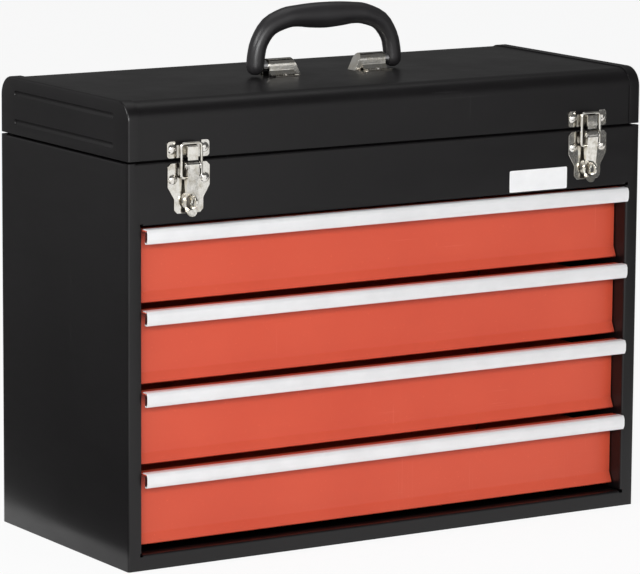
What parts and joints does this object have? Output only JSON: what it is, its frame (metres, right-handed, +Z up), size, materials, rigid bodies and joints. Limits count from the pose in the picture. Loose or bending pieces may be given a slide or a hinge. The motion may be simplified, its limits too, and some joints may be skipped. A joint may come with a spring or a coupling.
{
  "type": "portable tool box with drawers",
  "caption": "Portable steel tool box with sliding drawers on ball slides, a lift-up lid over a top till, draw latches with padlock eyes and a folding carrying handle.",
  "frame": {"origin": "centre of the base face, on the surface the box stands on", "axes": "+X to the right along the drawers, +Y to the back where the lid is hinged, +Z up"},
  "size_m": [0.51, 0.2387, 0.4474],
  "materials": {
    "body_paint": "black enamel, satin",
    "drawer_paint": "red enamel, satin",
    "pull_strip": "pale, satin",
    "slide_zinc": "zinc plated",
    "chrome": "bright plated",
    "rivets": "bright plated",
    "pin_steel": "bright steel",
    "grip": "moulded, satin"
  },
  "bodies": {
    "cabinet": {"outer_shell": "body_paint", "back_panel": "body_paint", "bottom_pan": "body_paint", "till_floor": "body_paint", "rear_upright_left": "body_paint", "rear_upright_right": "body_paint", "slide_rails_1": "slide_zinc", "slide_rails_2": "slide_zinc", "slide_rails_3": "slide_zinc", "slide_rails_4": "slide_zinc", "hinge_leaf_body": "body_paint", "hinge_pin": "pin_steel", "latch_base_left": "chrome", "latch_base_right": "chrome", "latch_rivets": "rivets", "padlock_eye_left": "chrome", "padlock_eye_right": "chrome", "lever_pin_left": "rivets", "lever_pin_right": "rivets"},
    "lid": {"lid_panel": "body_paint", "lid_cap_left": "body_paint", "lid_cap_right": "body_paint", "hinge_leaf_lid": "body_paint", "keeper_left": "chrome", "keeper_right": "chrome", "keeper_rivets": "rivets", "handle_bracket_left": "chrome", "handle_bracket_right": "chrome", "bracket_rivets": "rivets"},
    "handle": {"handle_pins": "pin_steel", "handle_grip": "grip"},
    "cage_1": {"ball_cages_1": "slide_zinc", "slide_balls_1": "slide_zinc"},
    "cage_2": {"ball_cages_2": "slide_zinc", "slide_balls_2": "slide_zinc"},
    "cage_3": {"ball_cages_3": "slide_zinc", "slide_balls_3": "slide_zinc"},
    "cage_4": {"ball_cages_4": "slide_zinc", "slide_balls_4": "slide_zinc"},
    "drawer_1": {"slide_runners_1": "slide_zinc", "drawer_tray_1": "drawer_paint", "drawer_front_1": "drawer_paint", "pull_strip_1": "pull_strip"},
    "drawer_2": {"slide_runners_2": "slide_zinc", "drawer_tray_2": "drawer_paint", "drawer_front_2": "drawer_paint", "pull_strip_2": "pull_strip"},
    "drawer_3": {"slide_runners_3": "slide_zinc", "drawer_tray_3": "drawer_paint", "drawer_front_3": "drawer_paint", "pull_strip_3": "pull_strip"},
    "drawer_4": {"slide_runners_4": "slide_zinc", "drawer_tray_4": "drawer_paint", "drawer_front_4": "drawer_paint", "pull_strip_4": "pull_strip"},
    "lever_left": {"latch_lever_left": "chrome"},
    "lever_right": {"latch_lever_right": "chrome"},
    "bail_left": {"latch_bail_left": "chrome"},
    "bail_right": {"latch_bail_right": "chrome"}
  },
  "joints": [
    {"name": "lid_hinge", "type": "hinge", "parent": "cabinet", "child": "lid", "pos_m": [0, 0.1116, 0.3386], "axis": [-1, 0, 0], "range_deg": [0, 100]},
    {"name": "handle_swing", "type": "hinge", "parent": "lid", "child": "handle", "pos_m": [0, 0, 0.3956], "axis": [1, 0, 0], "range_deg": [-86, 86]},
    {"name": "drawer_1_slide", "type": "slide", "parent": "cabinet", "child": "drawer_1", "axis": [0, -1, 0], "range_m": [0, 0.14]},
    {"name": "cage_1_slide", "type": "slide", "parent": "cabinet", "child": "cage_1", "axis": [0, -1, 0], "range_m": [0, 0.07]},
    {"name": "drawer_2_slide", "type": "slide", "parent": "cabinet", "child": "drawer_2", "axis": [0, -1, 0], "range_m": [0, 0.14]},
    {"name": "cage_2_slide", "type": "slide", "parent": "cabinet", "child": "cage_2", "axis": [0, -1, 0], "range_m": [0, 0.07]},
    {"name": "drawer_3_slide", "type": "slide", "parent": "cabinet", "child": "drawer_3", "axis": [0, -1, 0], "range_m": [0, 0.14]},
    {"name": "cage_3_slide", "type": "slide", "parent": "cabinet", "child": "cage_3", "axis": [0, -1, 0], "range_m": [0, 0.07]},
    {"name": "drawer_4_slide", "type": "slide", "parent": "cabinet", "child": "drawer_4", "axis": [0, -1, 0], "range_m": [0, 0.14]},
    {"name": "cage_4_slide", "type": "slide", "parent": "cabinet", "child": "cage_4", "axis": [0, -1, 0], "range_m": [0, 0.07]},
    {"name": "lever_left_pivot", "type": "hinge", "parent": "cabinet", "child": "lever_left", "pos_m": [-0.199, -0.1165, 0.3341], "axis": [-1, 0, 0], "range_deg": [0, 110]},
    {"name": "bail_left_pivot", "type": "hinge", "parent": "lever_left", "child": "bail_left", "pos_m": [-0.199, -0.1153, 0.3241], "axis": [-1, 0, 0], "range_deg": [-149, 0]},
    {"name": "lever_right_pivot", "type": "hinge", "parent": "cabinet", "child": "lever_right", "pos_m": [0.199, -0.1165, 0.3341], "axis": [-1, 0, 0], "range_deg": [0, 110]},
    {"name": "bail_right_pivot", "type": "hinge", "parent": "lever_right", "child": "bail_right", "pos_m": [0.199, -0.1153, 0.3241], "axis": [-1, 0, 0], "range_deg": [-149, 0]}
  ],
  "couplings": [
    {"joint": "cage_1_slide", "follows": "drawer_1_slide", "ratio": 0.5},
    {"joint": "cage_2_slide", "follows": "drawer_2_slide", "ratio": 0.5},
    {"joint": "cage_3_slide", "follows": "drawer_3_slide", "ratio": 0.5},
    {"joint": "cage_4_slide", "follows": "drawer_4_slide", "ratio": 0.5},
    {"joint": "bail_left_pivot", "follows": "lever_left_pivot", "ratio": -1.35},
    {"joint": "bail_right_pivot", "follows": "lever_right_pivot", "ratio": -1.35}
  ]
}
